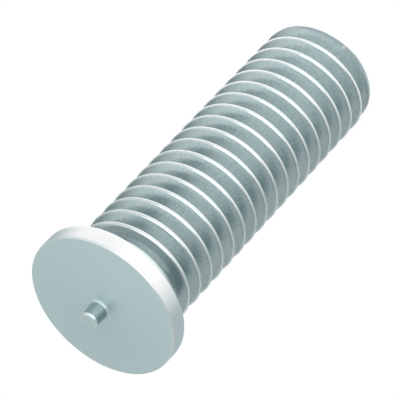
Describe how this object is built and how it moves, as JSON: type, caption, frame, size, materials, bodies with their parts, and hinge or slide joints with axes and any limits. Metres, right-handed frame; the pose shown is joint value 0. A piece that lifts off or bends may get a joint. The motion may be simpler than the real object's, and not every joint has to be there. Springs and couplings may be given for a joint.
{
  "type": "weld stud",
  "caption": "Flanged threaded weld stud with a small ignition tip on its slightly conical weld face, for capacitor-discharge welding to sheet metal and then taking a nut.",
  "frame": {"origin": "centre of the flat threaded end, on which the stud stands", "axes": "+Z along the stud's axis, from the threaded end to the ignition tip; -Y is the side that the picture shows"},
  "size_m": [0.0065, 0.0064, 0.0169],
  "materials": {
    "aluminium": "bare, cold-headed and thread-rolled, satin"
  },
  "bodies": {
    "root": {"weld_stud": "aluminium"}
  },
  "joints": []
}
